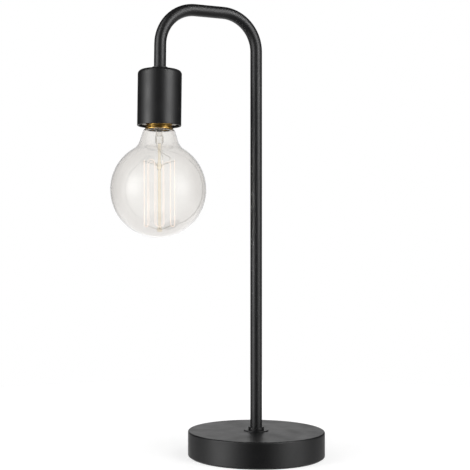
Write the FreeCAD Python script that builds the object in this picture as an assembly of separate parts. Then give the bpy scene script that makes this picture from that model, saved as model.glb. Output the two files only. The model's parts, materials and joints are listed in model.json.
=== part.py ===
import FreeCAD, Part
import math
import os

# A table lamp bent from one steel pipe, with a cup-shaped lampholder over a weighted disc base.
# Millimetres, +Z up. The origin is on the table under the stem, and the head hangs towards -X.

Vector = FreeCAD.Vector
UP = Vector(0, 0, 1)

# Pipe
pipe_diameter = 12.0
pipe_bore = 9.0
bend_radius = 37.0          # of the pipe's centreline
arm_height = 451.5          # of the arm's centreline over the table
arm_reach = 104.2           # from the stem's axis to where the head's axis crosses the arm's
head_drop = 62.0            # from the arm's axis down to the pipe's end
head_lean = 0.8             # degrees that the second bend springs back, so the head leans out

# Threaded nipples, nuts and lock washers
nipple_diameter = 10.0
nipple_bore = 7.0
nipple_grip = 12.0          # length screwed into the pipe
nipple_tail = 1.2           # thread that stands out past the nut
thread_play = 0.05          # radial, between a thread and what it is screwed into
hole_play = 0.2             # radial, between a nipple and a plain hole
nut_width = 14.0            # across flats
nut_sides = 6
nut_thickness = 3.0
nut_chamfer = 0.6
lock_washer_diameter = 15.0
lock_washer_thickness = 0.8
lock_washer_slit = 1.0

# Collars that hide the pipe's ends, and the washer under the foot's one
collar_diameter = 16.0
collar_height = 3.2
collar_floor = 0.8
collar_edge = 0.5
pipe_play = 0.05            # radial, of the pipe in its collar
foot_washer_diameter = 25.0
foot_washer_thickness = 0.8
foot_washer_edge = 0.3

# Base
base_diameter = 140.0
base_height = 26.5
base_edge = 1.4
cover_wall = 1.2
rim_lift = 1.0              # of the cover's rim over the table
pad_play = 0.8              # radial, of the foam pad in the cover
pad_thickness = 2.0
pad_edge = 0.5
plate_thickness = 1.6
plate_play = 0.4            # radial, of the plate in the cover
weight_play = 0.8           # radial, of the weight in the cover
weight_edge = 1.5
pocket_diameter = 104.0     # of the hollow under the weight
pocket_depth = 12.0
boss_diameter = 12.0
boss_circle = 88.0          # diameter on which the bosses stand
boss_count = 3
boss_turn = 60.0            # degrees from +X to the first boss

# Countersunk screws of the base plate
plate_screw_diameter = 4.0
plate_screw_head = 7.2
plate_screw_length = 9.0
plate_screw_slot = 1.0

# Bush in the base's rear wall, for a lead
bush_bore = 6.6
bush_neck = 9.0
bush_flange = 13.0
bush_flange_thickness = 2.0
bush_lock = 11.0            # diameter of the flange inside the wall
bush_lock_thickness = 1.4
bush_height = 10.5          # of its axis over the table
bush_play = 0.1
bush_edge = 0.8
channel_width = 15.0        # of the slot in the weight's rim behind the bush

# Terminal block under the weight
pole_pitch = 8.0
pole_count = 3
block_start = 20.0          # from the stem's axis to the block's near face
block_length = 15.0
block_room = 0.8            # between the block and the base plate
block_edge = 1.0
sleeve_diameter = 4.4
sleeve_bore = 2.4
sleeve_inset = 1.0          # of the sleeve's ends in the block
sleeve_drop = 5.1           # of the sleeve's axis below the weight's hollow ceiling
sleeve_play = 0.05
clamp_screw_diameter = 2.5
clamp_screw_spread = 6.0    # between the two screws of one pole
clamp_screw_room = 0.6      # depth of the clamp screws' heads inside the block
ear_width = 7.0
ear_length = 7.5
ear_thickness = 3.0
block_screw_diameter = 3.0
block_screw_length = 8.0

# Inner leads
wire_diameter = 2.0
wire_gap = 0.5              # between two of the three leads in the pipe
live_angle = 120.0          # degrees round the pipe's axis, of each lead's place in it
neutral_angle = 240.0
earth_angle = 0.0
lead_straight = 2.0         # of a lead in front of its terminal block
foot_turn = 4.5             # bend radius of the bundle's middle under the foot nipple
fan_start = 7.0             # from the stem's axis to where the leads spread
fan_turn = 5.0              # bend radius of the spread leads
strip_length = 5.0          # that a lead reaches into its terminal
holder_turn = 3.0           # bend radius of the leads in the cup

# Cup
cup_diameter = 43.7
cup_length = 55.0
cup_wall = 1.2
cup_shoulder = 4.0
cup_lip = 0.55

# Bracket between the nipple and the lampholder
bracket_width = 12.0
bracket_thickness = 1.5
bracket_inside = 18.4       # between its legs
bracket_foot = 7.4          # length of each foot outside its leg
bracket_corner = 2.0
bracket_screw_diameter = 3.0
bracket_screw_length = 7.0
bracket_screw_edge = 3.6    # from the screw's axis to the end of the foot
earth_screw_diameter = 3.0
earth_screw_length = 3.0
earth_screw_drop = 10.6     # of its axis under the cup's top

# Pan heads
pan_head_ratio = 1.9        # head diameter over thread diameter
pan_head_height = 0.65      # head height over thread diameter
slot_ratio = 0.25           # slot width over thread diameter

# Lampholder
holder_recess = 2.0         # from the cup's mouth up to the porcelain's face
holder_height = 36.0
holder_diameter = 38.0
holder_edge = 1.2
holder_floor = 12.8         # porcelain above the lamp's bore
shell_bore = 26.7
shell_wall = 0.4
shell_play = 0.1            # radial, of the shell in the porcelain
shell_inset = 0.8           # of the shell's mouth in the porcelain
shell_length = 18.5
tongue_width = 5.0
tongue_thickness = 0.5
tongue_drop = 2.0           # of the tongue's contact face below the porcelain floor
tongue_reach = 3.0          # past the axis
tongue_rise = 2.4           # from the axis to where the tongue rises to its rivet
contact_gap = 0.1           # between the tongue and the lamp's tip at rest
rivet_diameter = 2.4
rivet_head = 4.6
rivet_head_thickness = 0.8
rivet_room = 0.3            # between the neutral rivet's head and the shell's tab
live_rivet = 8.5            # from the axis, of the centre contact's rivet
tab_width = 4.0
post_width = 6.0
post_length = 6.0
post_height = 5.0
post_start = 9.0            # from the axis to a post's near face
post_bore_height = 2.5      # of the lead's hole over the porcelain
post_screw_diameter = 2.5
lead_play = 0.1             # radial, of a lead in its terminal

# Globe lamp, with heights over the globe's centre
globe_diameter = 95.0
glass_wall = 1.0
neck_level = 52.0
neck_diameter = 37.8        # at the neck level
neck_taper = 10.0           # degrees, of the neck's side to the axis
neck_fillet = 14.0          # between globe and neck
neck_shoulder = 5.0         # where the neck closes in to the cap
cap_level = 59.6
throat_diameter = 24.8      # of the glass inside the cap
throat_length = 9.0

# Screw cap
cap_height = 26.5           # from its rim to the contact's tip
cap_diameter = 26.1
cap_rim = 27.8
cap_rim_height = 1.2
cap_wall = 0.4
cap_end = 5.5               # from the end of the thread to the contact's tip
cap_shoulder = 1.4
cap_mouth = 18.0            # hole in the cap's end that holds the insulator
insulator_play = 0.1
insulator_cone = 12.6       # diameter of the insulator's small end
insulator_core = 4.0
insulator_depth = 2.0       # inside the cap
contact_diameter = 9.4
contact_thickness = 1.1

# Glass stem and rod
stem_diameter = 7.4
stem_wall = 0.9
stem_end = 44.8
flare_diameter = 22.4
flare_level = 58.0
flare_height = 8.0
flare_lip = 2.0
rod_diameter = 3.0
rod_end = -44.0
button_diameter = 5.2
button_height = 4.0
button_round = 1.8
upper_button = 20.8
lower_button = -42.2

# Filament cage: upright strands, joined in pairs by round bends over the hooks
cage_diameter = 31.0
cage_turn = -67.3           # degrees from +X to the first strand
strand_count = 12
strand_bend = 3.4           # radius of the bends that join two strands
filament_diameter = 0.8
hook_diameter = 0.5
hook_play = 0.1             # radial, of a hook in its bend
upper_hook_level = 28.0
lower_hook_level = -38.8
hook_rise = 2.6             # length of a hook's level end inside the cage
hook_tail = 0.9             # length of a hook's end outside the cage
hook_root = 1.2             # length held in the glass button
hook_corner = 1.5
lead_diameter = 0.6
lead_spread = 2.0           # of the leads' roots from the axis
lead_fan = 45.0             # degrees that each root stands beside its strand, away from the other lead
lead_root = 2.2             # length held in the glass stem
lead_drop = 7.3             # straight run below the stem
lead_corner = 2.0
lead_tail = 3.0             # straight run over the filament's end
joint_gap = 0.1             # between a lead's end and the filament's

# Levels and places that follow from these sizes
sphere = globe_diameter / 2
bundle_radius = (wire_diameter + wire_gap) / math.sqrt(3)
cover_underside = base_height - cover_wall
cover_inner_radius = base_diameter / 2 - cover_wall
pad_radius = cover_inner_radius - pad_play
plate_top = pad_thickness + plate_thickness
pocket_ceiling = plate_top + pocket_depth
foot_washer_top = base_height + foot_washer_thickness
foot_pipe_end = foot_washer_top + collar_floor
foot_nut_top = pocket_ceiling - lock_washer_thickness
foot_nipple_end = foot_nut_top - nut_thickness - nipple_tail
sleeve_level = pocket_ceiling - sleeve_drop

# The same in the head's own frame, which starts at the pipe's end with +Z up along the head
cup_top = -collar_floor
cup_ceiling = cup_top - cup_wall
cup_mouth = cup_top - cup_length
bracket_plate = cup_ceiling - bracket_thickness
head_nut_top = bracket_plate - lock_washer_thickness
head_nipple_end = head_nut_top - nut_thickness - nipple_tail
holder_face = cup_mouth + holder_recess
holder_top = holder_face + holder_height
holder_floor_level = holder_top - holder_floor
tongue_face = holder_floor_level - tongue_drop
post_bore_level = holder_top + post_bore_height
globe_level = tongue_face - contact_gap - cap_height - cap_level


# Plain helpers

def cylinder(radius, bottom, top, x=0.0, y=0.0):
    return Part.makeCylinder(radius, top - bottom, Vector(x, y, bottom))


def bar(radius, start, end):
    # a round bar between two points
    run = end - start
    return Part.makeCylinder(radius, run.Length, start, run)


def block(low, high):
    size = high - low
    return Part.makeBox(size.x, size.y, size.z, low)


def at_angle(radius, degrees, height):
    angle = math.radians(degrees)
    return Vector(radius * math.cos(angle), radius * math.sin(angle), height)


def join(solids):
    whole = solids[0].multiFuse(solids[1:]) if len(solids) > 1 else solids[0]
    return whole.removeSplitter()


def rounded_edges(points, radii, closed=False):
    # straight runs between the points, with a tangent arc at each point that has a radius
    count = len(points)
    entries, exits, middles = [], [], []
    for i, (point, radius) in enumerate(zip(points, radii)):
        if radius == 0:
            entries.append(point)
            exits.append(point)
            middles.append(None)
            continue
        back = (points[i - 1] - point).normalize()
        ahead = (points[(i + 1) % count] - point).normalize()
        half = back.getAngle(ahead) / 2
        setback = radius / math.tan(half)
        entries.append(point + back * setback)
        exits.append(point + ahead * setback)
        middles.append(point + (back + ahead).normalize() * (radius / math.sin(half) - radius))
    edges = []
    for i in range(count):
        if middles[i]:
            edges.append(Part.Arc(entries[i], middles[i], exits[i]).toShape())
        following = entries[(i + 1) % count]
        if (closed or i < count - 1) and exits[i].distanceToPoint(following) > Part.Precision.confusion():
            edges.append(Part.LineSegment(exits[i], following).toShape())
    return edges


def outline(corners):
    # a closed face in the XZ plane from (x, z) or (x, z, rounding) corners
    points = [Vector(corner[0], 0, corner[1]) for corner in corners]
    radii = [corner[2] if len(corner) > 2 else 0 for corner in corners]
    return Part.Face(Part.Wire(rounded_edges(points, radii, closed=True)))


def turned(corners):
    return outline(corners).revolve(Vector(0, 0, 0), UP, 360)


def strip(corners, width):
    # a face in the XZ plane given a width along Y, centred
    solid = outline(corners).extrude(Vector(0, width, 0))
    return solid.translated(Vector(0, -width / 2, 0))


def tube(points, radii, diameter):
    # a round wire or pipe along straight runs and arcs
    path = Part.Wire(rounded_edges(points, radii))
    section = Part.Wire(Part.makeCircle(diameter / 2, points[0], points[1] - points[0]))
    return path.makePipeShell([section], True, False)


def pan_screw(diameter, length, seat):
    # head over the seat and thread under it, on the Z axis
    head = diameter * pan_head_ratio / 2
    height = diameter * pan_head_height
    slot = diameter * slot_ratio
    solid = turned([(0, seat - length), (diameter / 2, seat - length), (diameter / 2, seat),
                    (head, seat), (head, seat + height, height / 2), (0, seat + height)])
    groove = block(Vector(-head, -slot / 2, seat + height / 2), Vector(head, slot / 2, seat + height))
    return solid.cut(groove)


def hex_nut(top):
    corner = nut_width / 2 / math.cos(math.pi / nut_sides)
    points = [at_angle(corner, 360 * i / nut_sides, top - nut_thickness) for i in range(nut_sides + 1)]
    prism = Part.Face(Part.makePolygon(points)).extrude(UP * nut_thickness)
    bottom = top - nut_thickness
    barrel = turned([(0, bottom), (corner - nut_chamfer, bottom), (corner, bottom + nut_chamfer),
                     (corner, top - nut_chamfer), (corner - nut_chamfer, top), (0, top)])
    return prism.common(barrel).cut(cylinder(nipple_diameter / 2 + thread_play, bottom, top))


def lock_washer(top):
    bottom = top - lock_washer_thickness
    ring = cylinder(lock_washer_diameter / 2, bottom, top)
    ring = ring.cut(cylinder(nipple_diameter / 2 + hole_play, bottom, top))
    slit = block(Vector(0, -lock_washer_slit / 2, bottom), Vector(nut_width, lock_washer_slit / 2, top))
    return ring.cut(slit)


def nipple(bottom, top):
    rod = cylinder(nipple_diameter / 2, bottom, top)
    return rod.cut(cylinder(nipple_bore / 2, bottom, top))


def collar(floor):
    # a ring with a floor: the pipe's end stands in it, and the nipple passes through the floor
    hole = nipple_diameter / 2 + hole_play
    seat = pipe_diameter / 2 + pipe_play
    radius = collar_diameter / 2
    top = floor + collar_height
    inside = floor + collar_floor
    return turned([(hole, floor), (radius, floor, collar_edge / 2), (radius, top, collar_edge),
                   (seat, top), (seat, inside), (hole, inside)])


# The pipe and its route

def pipe_route(outward=0.0, sideways=0.0, drop=head_drop):
    # the centreline from the foot to the end of the drop, moved outward in its plane or sideways
    lean = math.radians(head_lean)
    down = Vector(-math.sin(lean), 0, -math.cos(lean))
    out = Vector(-math.cos(lean), 0, math.sin(lean))
    side = Vector(0, sideways, 0)
    crossing = Vector(-arm_reach, 0, arm_height)
    shift = outward * (1 - math.sin(lean)) / math.cos(lean)
    return [Vector(outward, 0, foot_pipe_end) + side,
            Vector(outward, 0, arm_height + outward) + side,
            crossing + out * outward - down * shift + side,
            crossing + out * outward + down * drop + side]


head_frame = FreeCAD.Placement(pipe_route()[-1], FreeCAD.Rotation(Vector(0, 1, 0), head_lean))


def on_head(solid):
    placed = solid.copy()
    placed.Placement = head_frame.multiply(placed.Placement)
    return placed


def stem_pipe():
    radii = [0, bend_radius, bend_radius, 0]
    outside = tube(pipe_route(), radii, pipe_diameter)
    bore = tube(pipe_route(), radii, pipe_bore)
    thread = nipple_diameter / 2 + thread_play
    foot_thread = cylinder(thread, foot_pipe_end, foot_pipe_end + nipple_grip)
    head_thread = on_head(cylinder(thread, 0, nipple_grip))
    return outside.cut(join([bore, foot_thread, head_thread]))


# Base

def foot_washer():
    hole = nipple_diameter / 2 + hole_play
    radius = foot_washer_diameter / 2
    return turned([(hole, base_height), (radius, base_height), (radius, foot_washer_top, foot_washer_edge),
                   (hole, foot_washer_top)])


def base_cover():
    radius = base_diameter / 2
    hole = nipple_diameter / 2 + hole_play
    shell = turned([(hole, cover_underside), (cover_inner_radius, cover_underside, base_edge / 2),
                    (cover_inner_radius, rim_lift), (radius, rim_lift), (radius, base_height, base_edge),
                    (hole, base_height)])
    inlet = bar(bush_neck / 2 + bush_play, Vector(0, 0, bush_height), Vector(base_diameter, 0, bush_height))
    return shell.cut(inlet)


def boss_places(height):
    return [at_angle(boss_circle / 2, boss_turn + i * 360 / boss_count, height) for i in range(boss_count)]


def inlet_channel(near, far):
    # the slot with a round roof behind the bush, from near to far along +X
    half = channel_width / 2
    slot = block(Vector(near, -half, plate_top), Vector(far, half, bush_height))
    roof = bar(half, Vector(near, 0, bush_height), Vector(far, 0, bush_height))
    return join([slot, roof.cut(cylinder(far, 0, plate_top))])


def base_weight():
    radius = cover_inner_radius - weight_play
    pocket = pocket_diameter / 2
    hole = nipple_diameter / 2 + hole_play
    casting = turned([(hole, pocket_ceiling), (pocket, pocket_ceiling, weight_edge), (pocket, plate_top),
                      (radius, plate_top, weight_edge), (radius, cover_underside, weight_edge),
                      (hole, cover_underside)])
    bosses = [cylinder(boss_diameter / 2, plate_top, pocket_ceiling, place.x, place.y)
              for place in boss_places(plate_top)]
    casting = join([casting] + bosses).cut(inlet_channel(pocket - weight_edge, radius))
    drill = plate_screw_diameter / 2 + thread_play
    drills = [cylinder(drill, plate_top, plate_top + plate_screw_length, place.x, place.y)
              for place in boss_places(plate_top)]
    ear = block_ear_centre()
    drill = block_screw_diameter / 2 + thread_play
    drills.append(cylinder(drill, pocket_ceiling, pocket_ceiling + block_screw_length, ear.x, ear.y))
    return casting.cut(join(drills))


def plate_screw(place):
    head = plate_screw_head / 2
    shank = plate_screw_diameter / 2
    cone = head - shank
    top = pad_thickness + plate_screw_length
    screw = turned([(0, pad_thickness), (head, pad_thickness), (shank, pad_thickness + cone),
                    (shank, top), (0, top)])
    slot = block(Vector(-head, -plate_screw_slot / 2, pad_thickness),
                 Vector(head, plate_screw_slot / 2, pad_thickness + cone / 2))
    return screw.cut(slot).translated(Vector(place.x, place.y, 0))


def plate_screws():
    return Part.makeCompound([plate_screw(place) for place in boss_places(0)])


def base_plate():
    plate = cylinder(cover_inner_radius - plate_play, pad_thickness, plate_top)
    head = plate_screw_head / 2 + hole_play
    shank = plate_screw_diameter / 2 + hole_play
    sink = turned([(0, pad_thickness), (head, pad_thickness), (shank, pad_thickness + head - shank),
                   (shank, plate_top), (0, plate_top)])
    return plate.cut(join([sink.translated(place) for place in boss_places(0)]))


def base_pad():
    return turned([(0, 0), (pad_radius, 0, pad_edge), (pad_radius, pad_thickness), (0, pad_thickness)])


def cable_bush():
    radius = base_diameter / 2
    axis = Vector(0, 0, bush_height)
    along = Vector(1, 0, 0)
    neck = bar(bush_neck / 2, axis, axis + along * (radius + bush_flange_thickness / 2))
    flange = bar(bush_flange / 2, axis, axis + along * (radius + bush_flange_thickness))
    lip = [edge for edge in flange.Edges if edge.BoundBox.XMin > radius]
    flange = flange.makeFillet(bush_edge, lip).cut(cylinder(radius, 0, base_height))
    lock = bar(bush_lock / 2, axis, axis + along * radius)
    lock = lock.common(cylinder(cover_inner_radius, 0, base_height))
    bush = join([neck, flange, lock])
    start = cover_inner_radius - bush_lock_thickness
    bush = bush.cut(block(Vector(-radius, -radius, 0), Vector(start, radius, base_height)))
    return bush.cut(bar(bush_bore / 2, axis, axis + along * base_diameter))


# Terminal block

def pole_places():
    return [pole_pitch * (i - (pole_count - 1) / 2) for i in range(pole_count)]


def block_ear_centre():
    return Vector(block_start + block_length / 2, (pole_pitch * pole_count + ear_width) / 2, pocket_ceiling)


def clamp_places():
    middle = block_start + block_length / 2
    return [(middle + side * clamp_screw_spread / 2, y) for y in pole_places() for side in (-1, 1)]


def terminal_block():
    half = pole_pitch * pole_count / 2
    bottom = plate_top + block_room
    near = block_start
    far = block_start + block_length
    body = block(Vector(near, -half, bottom), Vector(far, half, pocket_ceiling))
    body = body.makeFillet(block_edge, [edge for edge in body.Edges if edge.BoundBox.ZLength > block_room])
    place = block_ear_centre()
    ear = block(Vector(place.x - ear_length / 2, half - block_edge, pocket_ceiling - ear_thickness),
                Vector(place.x + ear_length / 2, half + ear_width, pocket_ceiling))
    sleeve = sleeve_diameter / 2 + sleeve_play
    holes = [bar(sleeve, Vector(block_start + sleeve_inset, y, sleeve_level),
                 Vector(block_start + block_length - sleeve_inset, y, sleeve_level)) for y in pole_places()]
    holes += [bar(sleeve_bore / 2, Vector(block_start, y, sleeve_level),
                  Vector(block_start + block_length, y, sleeve_level)) for y in pole_places()]
    chimney = clamp_screw_diameter * pan_head_ratio / 2
    holes += [cylinder(chimney, bottom, sleeve_level, x, y) for x, y in clamp_places()]
    holes.append(cylinder(block_screw_diameter / 2 + hole_play, bottom, pocket_ceiling, place.x, place.y))
    return join([body, ear]).cut(join(holes))


def terminal_sleeves():
    sleeves = []
    for y in pole_places():
        start = Vector(block_start + sleeve_inset, y, sleeve_level)
        end = Vector(block_start + block_length - sleeve_inset, y, sleeve_level)
        sleeve = bar(sleeve_diameter / 2, start, end).cut(bar(sleeve_bore / 2, start, end))
        for x, pole in clamp_places():
            if pole == y:
                drill = clamp_screw_diameter / 2 + thread_play
                sleeve = sleeve.cut(cylinder(drill, sleeve_level - sleeve_diameter, sleeve_level, x, y))
        sleeves.append(sleeve)
    return Part.makeCompound(sleeves)


def clamp_screws():
    # their heads lie in the block's open chimneys, and their tips press the leads
    tip = sleeve_level - wire_diameter / 2 - lead_play
    seat = plate_top + block_room + clamp_screw_room + clamp_screw_diameter * pan_head_height
    screw = pan_screw(clamp_screw_diameter, tip - seat, 0)
    screw.rotate(Vector(0, 0, 0), Vector(1, 0, 0), 180)
    return Part.makeCompound([screw.translated(Vector(x, y, seat)) for x, y in clamp_places()])


def block_screw():
    place = block_ear_centre()
    screw = pan_screw(block_screw_diameter, block_screw_length, 0)
    screw.rotate(Vector(0, 0, 0), Vector(1, 0, 0), 180)
    return screw.translated(Vector(place.x, place.y, pocket_ceiling - ear_thickness))


# Inner leads, from the terminal block through the pipe to the lampholder

def lead_route(angle, pole, head_points):
    # the lead's place in the pipe is given by its angle round the pipe's axis
    place = at_angle(bundle_radius, angle, 0)
    turn = foot_turn - place.x
    run = foot_nipple_end - turn
    spread = Vector(block_start - lead_straight, pole, sleeve_level)
    stem = pipe_route(place.x, place.y)
    points = [Vector(block_start + sleeve_inset + strip_length, pole, sleeve_level), spread,
              Vector(fan_start, place.y, run), Vector(place.x, place.y, run), stem[1], stem[2]]
    radii = [0, fan_turn, fan_turn, turn, bend_radius + place.x, bend_radius + place.x]
    points += [head_frame.multVec(point) for point in head_points]
    radii += [holder_turn] * (len(head_points) - 1) + [0]
    return tube(points, radii, wire_diameter)


def post_lead(angle, side):
    # up the pipe and sideways into the terminal post on its side of the lampholder
    place = at_angle(bundle_radius, angle, 0)
    end = side * (post_start + strip_length)
    return lead_route(angle, side * pole_pitch, [Vector(-place.x, place.y, post_bore_level),
                                                 Vector(-place.x, end, post_bore_level)])


def live_wire():
    return post_lead(live_angle, 1)


def neutral_wire():
    return post_lead(neutral_angle, -1)


def earth_wire():
    level = cup_top - earth_screw_drop - wire_diameter
    face = -bracket_inside / 2 + earth_screw_diameter * pan_head_height
    return lead_route(earth_angle, 0, [Vector(-bundle_radius, 0, level), Vector(face, 0, level)])


# Cup and lampholder, in the head's frame

def lamp_cup():
    radius = cup_diameter / 2
    inner = radius - cup_wall
    hole = nipple_diameter / 2 + hole_play
    return turned([(hole, cup_top), (radius, cup_top, cup_shoulder), (radius, cup_mouth, cup_lip),
                   (inner, cup_mouth, cup_lip), (inner, cup_ceiling, cup_shoulder - cup_wall),
                   (hole, cup_ceiling)])


def bracket_screw_place():
    return bracket_inside / 2 + bracket_thickness + bracket_foot - bracket_screw_edge


def holder_bracket():
    leg = bracket_inside / 2
    outside = leg + bracket_thickness
    foot = outside + bracket_foot
    foot_top = holder_top + bracket_thickness
    bend = bracket_corner
    tight = bracket_corner - bracket_thickness
    right = [(outside, cup_ceiling, bend), (outside, foot_top, tight), (foot, foot_top), (foot, holder_top),
             (leg, holder_top, bend), (leg, bracket_plate, tight)]
    left = [(-corner[0], *corner[1:]) for corner in reversed(right)]
    omega = strip(right + left, bracket_width)
    holes = [cylinder(nipple_diameter / 2 + hole_play, bracket_plate, cup_ceiling)]
    shank = bracket_screw_diameter / 2 + hole_play
    holes += [cylinder(shank, holder_top, foot_top, side * bracket_screw_place()) for side in (-1, 1)]
    level = cup_top - earth_screw_drop
    thread = earth_screw_diameter / 2 + thread_play
    holes.append(bar(thread, Vector(-outside, 0, level), Vector(-leg, 0, level)))
    return omega.cut(join(holes))


def bracket_screws():
    screw = pan_screw(bracket_screw_diameter, bracket_screw_length, holder_top + bracket_thickness)
    places = [Vector(side * bracket_screw_place(), 0, 0) for side in (-1, 1)]
    return Part.makeCompound([screw.translated(place) for place in places])


def earth_screw():
    screw = pan_screw(earth_screw_diameter, earth_screw_length, 0)
    screw.rotate(Vector(0, 0, 0), Vector(0, 1, 0), 90)
    return screw.translated(Vector(-bracket_inside / 2, 0, cup_top - earth_screw_drop))


def neutral_rivet():
    return shell_bore / 2 - shell_wall - rivet_room - rivet_head / 2


def post_centre():
    # beside the axis by as much as the leads are, so that they run straight into the posts
    return Vector(-bundle_radius * math.cos(math.radians(live_angle)), post_start + post_length / 2, 0)


def holder_body():
    bore = shell_bore / 2 + shell_wall + shell_play
    radius = holder_diameter / 2
    body = turned([(0, holder_top), (radius, holder_top, holder_edge), (radius, holder_face, holder_edge),
                   (bore, holder_face, holder_edge / 2), (bore, holder_floor_level),
                   (0, holder_floor_level)])
    drill = rivet_diameter / 2 + hole_play
    x = post_centre().x
    holes = [cylinder(drill, holder_floor_level, holder_top, x, live_rivet),
             cylinder(drill, holder_floor_level, holder_top, x, -neutral_rivet())]
    thread = bracket_screw_diameter / 2 + thread_play
    depth = bracket_screw_length - bracket_thickness
    holes += [cylinder(thread, holder_top - depth, holder_top, side * bracket_screw_place())
              for side in (-1, 1)]
    return body.cut(join(holes))


def holder_shell():
    inner = shell_bore / 2
    outer = inner + shell_wall
    bottom = holder_face + shell_inset
    top = bottom + shell_length
    shell = cylinder(outer, bottom, top).cut(cylinder(inner, bottom, top))
    # the tab that runs up the bore and in under the neutral rivet
    x = post_centre().x
    low_x = x - tab_width / 2
    high_x = x + tab_width / 2
    near = -neutral_rivet() + rivet_head / 2
    floor = holder_floor_level
    side = block(Vector(low_x, -outer, top - shell_wall), Vector(high_x, -inner + shell_wall, floor))
    end = block(Vector(low_x, -outer, floor - shell_wall), Vector(high_x, near, floor))
    tab = join([side, end]).common(cylinder(outer, bottom, floor))
    drill = cylinder(rivet_diameter / 2 + hole_play, bottom, floor, x, -neutral_rivet())
    return join([shell, tab]).cut(drill)


def centre_contact():
    # a spring tongue, flat under its rivet and flat again over the lamp's tip
    root = live_rivet + rivet_head / 2
    knee = live_rivet - rivet_head / 2
    face = tongue_face
    back = holder_floor_level
    thick = tongue_thickness
    upper = [(root, back), (knee, back), (tongue_rise, face + thick), (-tongue_reach, face + thick)]
    lower = [(-tongue_reach, face), (tongue_rise, face), (knee, back - thick), (root, back - thick)]
    tongue = strip(upper + lower, tongue_width)
    tongue.rotate(Vector(0, 0, 0), UP, 90)
    return tongue.cut(cylinder(rivet_diameter / 2 + hole_play, face, back, post_centre().x, live_rivet))


def rivet(y, under):
    # from the contact under the porcelain floor up to the post on top
    shank = cylinder(rivet_diameter / 2, under, holder_top)
    radius = rivet_head / 2
    face = under - rivet_head_thickness
    head = turned([(0, face), (radius, face, rivet_head_thickness / 2), (radius, under), (0, under)])
    return join([shank, head]).translated(Vector(post_centre().x, y, 0))


def holder_rivets():
    return Part.makeCompound([rivet(live_rivet, holder_floor_level - tongue_thickness),
                              rivet(-neutral_rivet(), holder_floor_level - shell_wall)])


def terminal_post(side):
    centre = post_centre()
    low = Vector(centre.x - post_width / 2, post_start, holder_top)
    high = Vector(centre.x + post_width / 2, post_start + post_length, holder_top + post_height)
    post = block(low, high)
    lead_hole = bar(wire_diameter / 2 + lead_play, Vector(centre.x, post_start, post_bore_level),
                    Vector(centre.x, post_start + strip_length, post_bore_level))
    screw_hole = cylinder(post_screw_diameter / 2 + thread_play, post_bore_level, high.z, centre.x, centre.y)
    post = post.cut(join([lead_hole, screw_hole]))
    return post if side > 0 else post.mirror(Vector(0, 0, 0), Vector(0, 1, 0))


def terminal_posts():
    return Part.makeCompound([terminal_post(side) for side in (-1, 1)])


def post_screws():
    centre = post_centre()
    tip = post_bore_level + wire_diameter / 2 + lead_play
    seat = holder_top + post_height
    screw = pan_screw(post_screw_diameter, seat - tip, seat)
    return Part.makeCompound([screw.translated(Vector(centre.x, side * centre.y, 0)) for side in (-1, 1)])


# Globe lamp, in a frame at the globe's centre with +Z up to the cap

def neck_centres():
    # the centres of the arcs at both ends of the neck's straight side, and the side's normal
    taper = math.radians(neck_taper)
    normal = Vector(math.cos(taper), 0, math.sin(taper))
    side = Vector(-math.sin(taper), 0, math.cos(taper))
    start = Vector(neck_diameter / 2, 0, neck_level)
    offset = start + normal * neck_fillet
    along = offset.dot(side)
    reach = sphere + neck_fillet
    fillet = offset + side * (math.sqrt(along ** 2 - offset.Length ** 2 + reach ** 2) - along)
    inside = start - normal * neck_shoulder
    shoulder = inside + side * ((cap_level - neck_shoulder - inside.z) / side.z)
    return fillet, shoulder, normal


def arc_about(centre, start, end):
    # the short arc from start to end about a centre
    middle = (start - centre).normalize() + (end - centre).normalize()
    radius = (start - centre).Length
    return Part.Arc(start, centre + middle.normalize() * radius, end).toShape()


def glass_body(inset):
    # the solid inside the glass surface, with the surface moved inwards by the inset
    fillet, shoulder, normal = neck_centres()
    origin = Vector(0, 0, 0)
    globe = sphere - inset
    bottom = Vector(0, 0, -globe)
    waist = Vector(globe, 0, 0)
    root = Vector(fillet).normalize() * globe
    neck_low = fillet - normal * (neck_fillet + inset)
    bend = neck_shoulder - inset
    neck_high = shoulder + normal * bend
    crown = shoulder + UP * bend
    throat = throat_diameter / 2 - inset
    top = cap_level + throat_length
    edges = [arc_about(origin, bottom, waist), arc_about(origin, waist, root),
             arc_about(fillet, root, neck_low), Part.LineSegment(neck_low, neck_high).toShape(),
             arc_about(shoulder, neck_high, crown)]
    corners = [crown, Vector(throat, 0, crown.z), Vector(throat, 0, top), Vector(0, 0, top), bottom]
    edges += [Part.LineSegment(a, b).toShape() for a, b in zip(corners, corners[1:])]
    return Part.Face(Part.Wire(edges)).revolve(origin, UP, 360)


def bulb_glass():
    return glass_body(0).cut(glass_body(glass_wall))


def bulb_cap():
    outer = cap_diameter / 2
    inner = outer - cap_wall
    rim = cap_rim / 2
    end = cap_level + cap_height - cap_end
    mouth = cap_mouth / 2
    lip = end + cap_shoulder
    return turned([(inner, cap_level), (rim, cap_level), (rim, cap_level + cap_rim_height, cap_wall),
                   (outer, cap_level + cap_rim_height + rim - outer), (outer, end, cap_shoulder),
                   (mouth, lip), (mouth, lip - cap_wall), (inner, end - cap_wall)])


def cap_insulator():
    lip = cap_level + cap_height - cap_end + cap_shoulder
    seat = cap_level + cap_height - contact_thickness
    wide = cap_mouth / 2 - insulator_play
    core = insulator_core / 2
    return turned([(core, lip - insulator_depth), (wide, lip - insulator_depth), (wide, lip + cap_wall),
                   (insulator_cone / 2, seat, cap_wall), (core, seat)])


def cap_contact():
    tip = cap_level + cap_height
    seat = tip - contact_thickness
    core = insulator_core / 2 - insulator_play
    foot = cap_level + cap_height - cap_end + cap_shoulder - insulator_depth
    radius = contact_diameter / 2
    return turned([(0, foot), (core, foot), (core, seat), (radius, seat),
                   (radius, tip, contact_thickness / 2), (0, tip)])


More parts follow.
